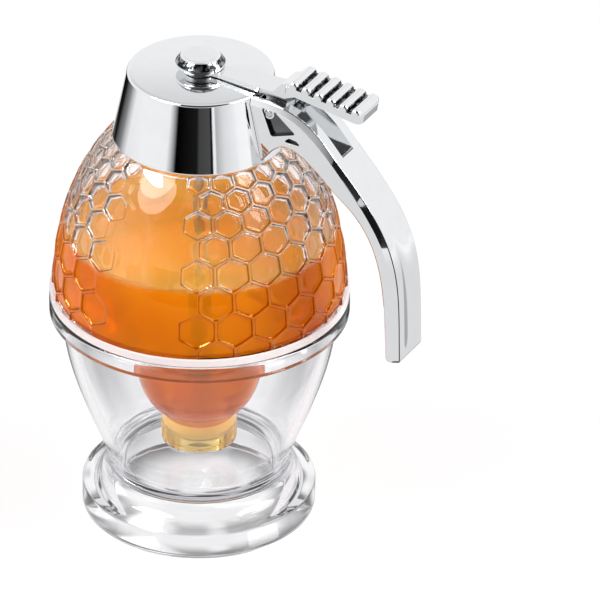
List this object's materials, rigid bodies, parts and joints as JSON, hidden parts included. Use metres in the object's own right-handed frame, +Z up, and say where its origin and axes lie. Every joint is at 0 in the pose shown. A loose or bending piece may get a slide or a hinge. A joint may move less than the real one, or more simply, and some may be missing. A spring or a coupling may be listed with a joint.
{
  "type": "honey dispenser",
  "caption": "Clear honeycomb jar with a funnel nozzle and a chrome handled cap, set in a clear pedestal bowl; a thumb lever lifts a rod and stopper.",
  "frame": {"origin": "on the dispenser's vertical axis, in the face of the foot that it stands on", "axes": "+Z up along the rod, +X towards the handle, +Y along the lever's pivot"},
  "size_m": [0.1114, 0.0862, 0.15],
  "materials": {
    "clear_plastic": "clear, polished",
    "chrome": "bright chrome plating",
    "steel": "plain stainless steel",
    "silicone": "translucent silicone, satin",
    "white_plastic": "moulded, satin"
  },
  "bodies": {
    "base": {"stand": "clear_plastic"},
    "reservoir": {"funnel": "clear_plastic", "jar": "clear_plastic"},
    "seal": {"neck_gasket": "silicone"},
    "cap": {"cap_shell": "chrome", "cap_liner": "white_plastic", "liner_screws": "steel", "rod_bush": "white_plastic", "rod_seal": "silicone", "handle": "chrome", "handle_screws": "steel", "pivot_pin": "steel"},
    "lever": {"lever": "chrome"},
    "plunger": {"knob": "chrome", "plunger_rod": "steel", "spring_washer": "steel", "rod_clip": "steel", "return_spring": "steel", "stopper": "silicone", "stopper_washer": "steel", "stopper_nut": "steel"}
  },
  "joints": [
    {"name": "jar_lift", "type": "slide", "parent": "base", "child": "reservoir", "axis": [0, 0, 1], "range_m": [0, 0.06]},
    {"name": "cap_rise", "type": "slide", "parent": "reservoir", "child": "seal", "axis": [0, 0, 1], "range_m": [0, 0.0052]},
    {"name": "cap_turn", "type": "hinge", "parent": "seal", "child": "cap", "pos_m": [0, 0, 0.13], "axis": [0, 0, 1], "range_deg": [0, 450]},
    {"name": "lever_press", "type": "hinge", "parent": "cap", "child": "lever", "pos_m": [0.0258, 0, 0.139], "axis": [0, 1, 0], "range_deg": [0, 10], "stiffness_Nm_per_rad": 0.3, "springref_deg": -4.58},
    {"name": "plunger_lift", "type": "slide", "parent": "cap", "child": "plunger", "axis": [0, 0, 1], "range_m": [0, 0.0051], "deforming": ["return_spring"]}
  ],
  "couplings": [
    {"joint": "cap_rise", "follows": "cap_turn", "m_per_rad": 0.00063662},
    {"joint": "plunger_lift", "follows": "lever_press", "m_per_rad": 0.0284}
  ]
}
